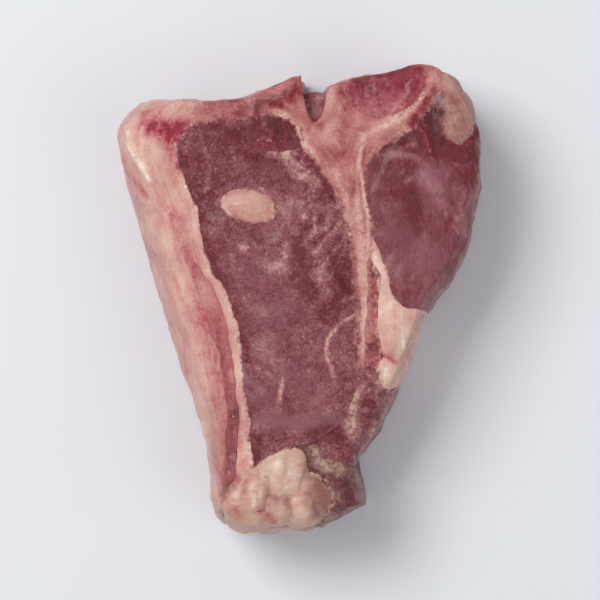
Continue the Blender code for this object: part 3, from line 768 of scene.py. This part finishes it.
def marked(piece, heights):
    """Relief of a piece's marks."""
    return sum(height * piece.marks[kind] for kind, height in heights.items())


def muscle_relief(piece):
    """Soft swells, bundles of fibres end-on, and hollows where blood shows."""
    bundle_height, bundle_size = MUSCLE_BUNDLES
    bundle, after = cells(piece.fibres, bundle_size, 3)
    height = swell(piece.fibres, MUSCLE_SWELL, 21)
    height += bundle_height * smooth_step(after - bundle, 0.0, 0.5)
    height += piece.side * swell(piece.points * SIDE_STRETCH, MUSCLE_SIDES, 23)
    return height + marked(piece, MUSCLE_MARKS)


def fat_relief(piece, lobed):
    """Soft waves and lobed sides, with the lobes, folds and creases that are marked."""
    lobe_height, lobe_size = FAT_LOBES
    near, _ = cells(piece.points, lobe_size, 33)
    lobes = np.sqrt(np.clip(1 - 2 * near ** 2, 0, 1)) - 0.75
    height = swell(piece.points, FAT_SWELL, 31) + swell(piece.points, FAT_GRAIN, 35)
    height += lobed * lobe_height * piece.side * lobes
    return height + marked(piece, FAT_MARKS)


def bone_relief(piece):
    """A sawn face: nearly flat, with pores."""
    pore_depth, pore_size = BONE_PORES
    near, _ = cells(piece.points, pore_size, 7)
    pores = 1 - smooth_step(near, 0.1, 0.35)
    open_part = smooth_step(lattice(piece.points, 2 * pore_size, 8), 0.0, 0.4)
    waves = piece.side * swell(piece.points * SIDE_STRETCH, BONE_SIDES, 25)
    return swell(piece.points, BONE_SWELL, 9) - pore_depth * pores * open_part + waves


def marrow_relief(piece):
    """Spongy bone: a network with small pits."""
    height, size = MARROW_NET
    near, after = cells(piece.points, size, 11)
    return height * (0.4 - smooth_step(after - near, 0.0, 0.5))


# ---------------------------------------------------------------- materials

def linear(colour):
    """An sRGB colour out of 255 as linear red, green, blue and alpha."""
    parts = [part / 255 for part in colour]
    return [((part + 0.055) / 1.055) ** 2.4 for part in parts] + [1.0]


def under_sheen(colour):
    """The pigment that looks like an sRGB colour once the wet sheen has added its grey."""
    return [max(part - SHEEN, 0.3 * part) for part in linear(colour)[:3]] + [1.0]


class Shade:
    """Short calls for building one material out of nodes; a size is in millimetres."""

    def __init__(self, name):
        self.material = bpy.data.materials.new(name)
        self.material.use_nodes = True
        self.tree = self.material.node_tree
        self.shader = self.tree.nodes["Principled BSDF"]
        place = self.tree.nodes.new("ShaderNodeTexCoord").outputs["Object"]
        self.place = self.scale(place, (1 / MM, 1 / MM, 1 / MM))

    def link(self, value, socket):
        """Feed a socket from another node's output or with a plain value."""
        if isinstance(value, bpy.types.NodeSocket):
            self.tree.links.new(value, socket)
        else:
            socket.default_value = value

    def scale(self, place, factors):
        """Coordinates stretched by a factor along each axis."""
        node = self.tree.nodes.new("ShaderNodeVectorMath")
        node.operation = "MULTIPLY"
        self.link(place, node.inputs[0])
        node.inputs[1].default_value = factors
        return node.outputs[0]

    def stir(self, place, size, reach):
        """Coordinates pushed about by noise."""
        node = self.tree.nodes.new("ShaderNodeTexNoise")
        self.link(place, node.inputs["Vector"])
        node.inputs["Scale"].default_value = 1 / size
        push = self.scale(node.outputs["Color"], (reach, reach, reach))
        total = self.tree.nodes.new("ShaderNodeVectorMath")
        self.link(place, total.inputs[0])
        self.link(push, total.inputs[1])
        return total.outputs[0]

    def along(self, name):
        """Coordinates that run along the contours of a distance stored on the mesh."""
        split = self.tree.nodes.new("ShaderNodeSeparateXYZ")
        self.link(self.place, split.inputs[0])
        joined = self.tree.nodes.new("ShaderNodeCombineXYZ")
        self.link(self.value(name), joined.inputs[0])
        slow = self.sum((split.outputs[0], 0.1), (split.outputs[2], 0.05))
        self.link(slow, joined.inputs[1])
        self.link(self.sum((split.outputs[1], 0.1), (split.outputs[2], 0.07)), joined.inputs[2])
        return joined.outputs[0]

    def noise(self, place, size, detail=3.0, roughness=0.5):
        """Noise from 0 to 1."""
        node = self.tree.nodes.new("ShaderNodeTexNoise")
        self.link(place, node.inputs["Vector"])
        node.inputs["Scale"].default_value = 1 / size
        node.inputs["Detail"].default_value = detail
        node.inputs["Roughness"].default_value = roughness
        return node.outputs["Fac"]

    def cell(self, place, size):
        """For scattered cells: the distance from the middle, and a random value for each."""
        node = self.tree.nodes.new("ShaderNodeTexVoronoi")
        self.link(place, node.inputs["Vector"])
        node.inputs["Scale"].default_value = 1 / size
        split = self.tree.nodes.new("ShaderNodeSeparateColor")
        self.link(node.outputs["Color"], split.inputs[0])
        return node.outputs["Distance"], split.outputs[0]

    def value(self, name):
        """A number stored on the mesh."""
        node = self.tree.nodes.new("ShaderNodeAttribute")
        node.attribute_name = name
        return node.outputs["Fac"]

    def sum(self, *terms):
        """Weighted sum of (value, weight) pairs; a bare number is added as it is."""
        total = 0.0
        for term in terms:
            if isinstance(term, (int, float)):
                total = self.math("ADD", total, term)
            else:
                node = self.tree.nodes.new("ShaderNodeMath")
                node.operation = "MULTIPLY_ADD"
                self.link(term[0], node.inputs[0])
                self.link(term[1], node.inputs[1])
                self.link(total, node.inputs[2])
                total = node.outputs[0]
        return total

    def centred(self, *terms):
        """Weighted sum of values around 0.5, shifted to lie around 0."""
        return self.sum(*terms, -0.5 * sum(weight for _, weight in terms))

    def math(self, operation, first, second):
        """One sum of two values."""
        node = self.tree.nodes.new("ShaderNodeMath")
        node.operation = operation
        self.link(first, node.inputs[0])
        self.link(second, node.inputs[1])
        return node.outputs[0]

    def step(self, value, low, high, top=1.0):
        """0 below low, `top` above high, and a smooth rise between."""
        node = self.tree.nodes.new("ShaderNodeMapRange")
        node.interpolation_type = "SMOOTHSTEP"
        self.link(value, node.inputs["Value"])
        node.inputs["From Min"].default_value = low
        node.inputs["From Max"].default_value = high
        node.inputs["To Max"].default_value = top
        return node.outputs["Result"]

    def mix(self, share, first, second):
        """The first colour blended into the second."""
        node = self.tree.nodes.new("ShaderNodeMix")
        node.data_type = "RGBA"
        self.link(share, node.inputs[0])
        self.link(first if isinstance(first, bpy.types.NodeSocket) else under_sheen(first),
                  node.inputs[6])
        self.link(second if isinstance(second, bpy.types.NodeSocket) else under_sheen(second),
                  node.inputs[7])
        return node.outputs[2]

    def ramp(self, value, stops):
        """A colour picked by a value from a list of (value, colour) stops."""
        node = self.tree.nodes.new("ShaderNodeValToRGB")
        self.link(value, node.inputs[0])
        marks = node.color_ramp.elements
        while len(marks) < len(stops):
            marks.new(0.5)
        for mark, (place, colour) in zip(marks, stops):
            mark.position = place
            mark.color = under_sheen(colour)
        return node.outputs[0]

    def mark(self, name, place, size):
        """A painted mark, mottled by noise."""
        mottle = self.sum((self.noise(place, size, 3.0, 0.6), 2.4), -0.2)
        return self.math("MULTIPLY", self.value(name), mottle)

    def skin(self, colour, place, size, share):
        """Patches of thin membrane over the outer sides."""
        patches = self.step(self.noise(place, size, 5.0, 0.6), 0.4, 0.62, share)
        return self.mix(self.math("MULTIPLY", self.value("side"), patches), colour, MEMBRANE)

    def threads(self, colour, place, size):
        """Fine pale threads in the membrane of the outer sides."""
        lines = self.step(self.noise(place, size, 4.0, 0.65), 0.52, 0.74, 0.5)
        return self.mix(self.math("MULTIPLY", self.value("side"), lines), colour, SINEW)

    def vessels(self, colour, place, size):
        """A few fine red vessels on the outer sides."""
        ridges = self.centred((self.noise(place, size, 4.0, 0.55), 1.0))
        lines = self.step(self.math("ABSOLUTE", ridges, 0.0), 0.016, 0.0, 0.4)
        some = self.step(self.noise(place, 1.3 * size), 0.48, 0.6)
        lines = self.math("MULTIPLY", self.math("MULTIPLY", lines, some), self.value("side"))
        return self.mix(lines, colour, VEIN)

    def border(self, colour, place):
        """The colour of the neighbouring piece showing in ragged patches along the seam."""
        node = self.tree.nodes.new("ShaderNodeAttribute")
        node.attribute_name = "beyond"
        share = self.value("share")
        wander = self.centred((self.noise(place, 1.1, 4.0, 0.65), 4.0))
        wander = self.math("MULTIPLY", self.math("MULTIPLY", wander, self.value("turn")), share)
        mixed = self.step(self.sum((share, 1.0), (wander, 1.0)), 0.3, 0.7)
        return self.mix(mixed, colour, node.outputs["Color"])

    def close(self, colour, height, depth, roughness, gloss, glow):
        """Wire the surface: colour, relief of `depth` mm, roughness, wet coat and glow within."""
        bump = self.tree.nodes.new("ShaderNodeBump")
        bump.inputs["Distance"].default_value = depth * MM
        self.link(height, bump.inputs["Height"])
        self.link(bump.outputs[0], self.shader.inputs["Normal"])
        self.link(colour, self.shader.inputs["Base Color"])
        self.link(roughness, self.shader.inputs["Roughness"])
        self.shader.inputs["Specular IOR Level"].default_value = 0.35
        self.shader.inputs["Coat Weight"].default_value = gloss
        self.shader.inputs["Coat Roughness"].default_value = 0.22
        self.shader.inputs["Subsurface Weight"].default_value = glow
        self.shader.inputs["Subsurface Radius"].default_value = (1.0, 0.45, 0.35)
        self.shader.inputs["Subsurface Scale"].default_value = 1.2 * MM
        return self.material


def muscle_material(name, stops, grain=1.0, lie=1.0, shift=0.0):
    """Lean meat cut across its fibres: a mosaic of fibre bundles with fine pale specks."""
    s = Shade(name)
    fibres = s.scale(s.place, (1, lie, 1 / FIBRE_STRETCH))
    wavy = s.stir(fibres, 3.0, 0.8)
    veil_and_shade = s.value("film")
    calm = s.sum((veil_and_shade, -0.7), 1.0)
    _, bundle = s.cell(wavy, 2.1)
    _, strand = s.cell(wavy, 0.9)
    fine = s.centred((bundle, 0.12), (strand, 0.2), (s.noise(fibres, 0.5, 3.0, 0.75), 1.1))
    away, pick = s.cell(fibres, 0.95)
    dots = s.math("MULTIPLY", s.step(away, 0.36, 0.12), s.step(pick, 0.5, 0.9, 0.35))
    dots = s.math("MULTIPLY", dots, s.step(s.noise(wavy, 4.0), 0.38, 0.62))
    speckle = s.math("MULTIPLY", s.sum((fine, 1.0), (dots, 1.0)), calm)
    broad = s.centred((s.noise(wavy, 8.0, 3.0, 0.6), 1.0))
    tone = s.sum((speckle, grain), (broad, 0.55), (s.mark("pale", fibres, 0.9), 0.5),
                 (s.mark("blood", fibres, 1.6), -0.32), LEAN_TONE + shift)
    colour = s.ramp(tone, stops)
    # Membrane over the lean meat, and painted shade where the film marks lie in the cap streak's
    # groove.
    colour = s.mix(s.math("MULTIPLY", veil_and_shade, 0.6), colour, VEIL)
    colour = s.skin(colour, s.scale(wavy, (1, 1, 3)), 3.0, 0.5)
    colour = s.threads(colour, wavy, 0.9)
    colour = s.border(colour, s.place)
    height = s.sum((speckle, 2.0), (s.noise(fibres, 2.4), 0.8), (s.noise(fibres, 0.3), 0.3))
    roughness = s.sum((s.noise(s.place, 3.0), 0.25), 0.3)
    return s.close(colour, height, 0.08, roughness, 0.15, 0.08)


def fat_material(name, stops, shift=0.0):
    """Firm fat: cream with pink streaks along its layers."""
    s = Shade(name)
    layers = s.along("layer")
    streaks = s.noise(layers, 1.5, 4.0, 0.65)
    patches = s.noise(s.place, 7.0, 4.0, 0.65)
    grains = s.noise(s.place, 0.5, 2.0, 0.7)
    bead, pick = s.cell(s.place, 1.1)
    beads = s.math("MULTIPLY", s.step(bead, 0.5, 0.2), s.step(pick, 0.2, 0.8))
    beads = s.math("MULTIPLY", beads, s.step(s.value("layer"), 1.6, 0.5))
    tone = s.centred((streaks, 0.8), (patches, 0.8), (grains, 0.4))
    # Pale marks lighten the fat: bright fat, and painted highlights and glints.
    tone = s.sum((tone, 1.0), (s.mark("pale", s.place, 1.2), 0.4),
                 (s.mark("blood", s.place, 1.3), -0.55), (beads, 0.28), FAT_TONE + shift)
    colour = s.ramp(tone, stops)
    # Painted shade, brownish, where the film marks lie in creases and grooves.
    colour = s.mix(s.mark("film", s.place, 2.0), colour, SHADOW)
    colour = s.skin(colour, s.stir(s.place, 5.0, 3.0), 5.0, 0.4)
    colour = s.vessels(colour, s.stir(s.place, 4.0, 2.0), 9.0)
    colour = s.border(colour, s.place)
    height = s.sum((grains, 0.5), (s.noise(s.place, 1.8), 0.6), (streaks, 0.5))
    roughness = s.sum((s.noise(s.place, 2.5), 0.25), 0.32)
    return s.close(colour, height, 0.05, roughness, 0.15, 0.15)


def bone_material(name):
    """Sawn bone: pale hard edges round a redder, faintly porous middle."""
    s = Shade(name)
    patches = s.noise(s.stir(s.place, 4.0, 2.0), 4.0, 5.0, 0.65)
    grains = s.noise(s.place, 0.5, 3.0, 0.7)
    streaks = s.noise(s.along("seam"), 0.8, 3.0, 0.6)
    tone = s.centred((patches, 0.6), (grains, 0.45), (streaks, 0.5))
    tone = s.sum((tone, 1.0), (s.mark("pale", s.place, 1.0), 0.4),
                 (s.mark("blood", s.place, 1.4), -0.45), BONE_TONE)
    colour = s.ramp(tone, BONE)
    upright = s.scale(s.place, (1, 1, 0.2))
    colour = s.skin(colour, upright, 3.0, 0.5)
    colour = s.threads(colour, upright, 0.9)
    colour = s.border(colour, s.place)
    height = s.sum((grains, 1.0), (s.noise(s.place, 0.9), 0.6))
    return s.close(colour, height, 0.07, s.sum((patches, 0.2), 0.35), 0.1, 0.06)


def marrow_material(name):
    """Wet red marrow with traces of its fine bony net."""
    s = Shade(name)
    sponge = s.noise(s.stir(s.place, 1.2, 0.8), 0.55, 3.0, 0.7)
    tone = s.centred((s.noise(s.place, 4.0, 4.0, 0.65), 0.9), (sponge, 0.6))
    tone = s.sum((tone, 1.0), (s.mark("pale", s.place, 1.4), 0.2),
                 (s.mark("blood", s.place, 1.4), -0.3), MARROW_TONE)
    colour = s.border(s.ramp(tone, MARROW), s.place)
    return s.close(colour, sponge, 0.12, s.sum((sponge, 0.3), 0.25), 0.2, 0.06)


# ---------------------------------------------------------------- the chop

# For lean meat: colours, strength of its grain, how far its fibres lie, and shift of its tone.
MUSCLES = {
    "loin_eye": (LEAN, 1.0),
    "spine_muscle": (DARK_LEAN, 1.1),
    "flank_muscle": (LEAN, 1.0),
    "side_muscle": (PINK_LEAN, 1.0, 1.0, -0.22),
    "tenderloin": (LEAN, 0.5, 0.5, -0.06),
    "crus_muscle": (DARK_LEAN, 0.9, 1.0, -0.06),
    "tail_muscle": (BROWN_LEAN, 0.8),
    "cap_muscle": (PINK_LEAN, 0.6),
    "canal_tissue": (LEAN, 0.7),
}
# For fat: colours, shift of its tone, and how far its sides bulge in lobes.
FATS = {
    "fat_cap": (FAT, -0.03, 0.5),
    "tail_fat": (TAIL_FAT, 0.0, 1.8),
    "kidney_fat": (FAT, 0.0, 1.2),
    "chine_fat": (DULL_FAT, 0.0, 0.7),
    "fat_kernel": (TAIL_FAT, -0.25, 0.0),
}


def dress(piece, frame, grooves, top):
    """Give one piece its relief, paint and material."""
    name = piece.name
    if name in MUSCLES:
        height = muscle_relief(piece)
        made = muscle_material(name, *MUSCLES[name])
    elif name in FATS:
        write_values(piece.mesh, "layer", layer_depth(piece, frame))
        stops, shift, lobed = FATS[name]
        height = fat_relief(piece, lobed)
        made = fat_material(name, stops, shift)
    elif name == "bone_marrow":
        height = marrow_relief(piece)
        made = marrow_material(name)
    else:
        height = bone_relief(piece)
        made = bone_material(name)
    piece.finish(height, grooves, top)
    piece.mesh.materials.append(made)
    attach(piece.thing, "root")
    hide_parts(name)


def layer_depth(piece, frame):
    """How deep in its layers a fat point lies: its distance from the loin eye."""
    return neighbours(piece.points, [frame["nodes"]["loin_eye"]])[0]


def fit_box(pieces, low, high):
    """Stretch the finished pieces together so that they fill the solids' box exactly."""
    least = np.min([piece.points.min(axis=0) for piece in pieces], axis=0)
    most = np.max([piece.points.max(axis=0) for piece in pieces], axis=0)
    start = np.array(low) / MM
    factor = (np.array(high) / MM - start) / (most - least)
    for piece in pieces:
        write_points(piece.mesh, (piece.points - least) * factor + start)


# ---------------------------------------------------------------- stage

def add_floor():
    """A plain pale floor."""
    bpy.ops.mesh.primitive_plane_add(size=FLOOR_SIZE)
    floor = bpy.context.object
    floor.name = "floor"
    paint = bpy.data.materials.new("floor")
    paint.use_nodes = True
    shader = paint.node_tree.nodes["Principled BSDF"]
    shader.inputs["Base Color"].default_value = linear(FLOOR)
    shader.inputs["Roughness"].default_value = 0.7
    floor.data.materials.append(paint)


def add_light(name, place, size, power):
    """A soft square light that faces the chop."""
    data = bpy.data.lights.new(name, "AREA")
    data.size = size
    data.energy = power
    lamp = bpy.data.objects.new(name, data)
    lamp.location = place
    lamp.rotation_euler = (-Vector(place)).to_track_quat("-Z", "Y").to_euler()
    bpy.context.scene.collection.objects.link(lamp)


def add_camera(low, high):
    """A long lens straight above the chop."""
    data = bpy.data.cameras.new("camera")
    data.sensor_width = SENSOR_WIDTH
    data.lens = SENSOR_WIDTH * CAMERA_ABOVE * CHOP_SHARE / (high.y - low.y)
    camera = bpy.data.objects.new("camera", data)
    camera.location = (0.0, 0.0, high.z + CAMERA_ABOVE)
    bpy.context.scene.collection.objects.link(camera)
    bpy.context.scene.camera = camera


def set_stage(low, high):
    """Floor, lights and camera."""
    add_floor()
    add_light("key", *KEY_LIGHT)
    add_light("fill", *FILL_LIGHT)
    add_camera(low, high)
    world = bpy.data.worlds.new("studio")
    world.use_nodes = True
    sky = world.node_tree.nodes["Background"]
    sky.inputs["Color"].default_value = SKY
    sky.inputs["Strength"].default_value = SKY_STRENGTH
    bpy.context.scene.world = world
    bpy.context.scene.view_settings.view_transform = "Standard"


def main():
    """Build the whole scene."""
    for thing in list(bpy.data.objects):
        bpy.data.objects.remove(thing)
    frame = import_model()
    cad_low, cad_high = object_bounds()
    top = cad_high.z / MM
    pieces = [Piece(name, frame, top) for name in sorted(frame["nodes"])]
    grooves = Grooves(pieces)
    for piece in pieces:
        dress(piece, frame, grooves, top)
    fit_box(pieces, cad_low, cad_high)
    set_stage(cad_low, cad_high)


main()
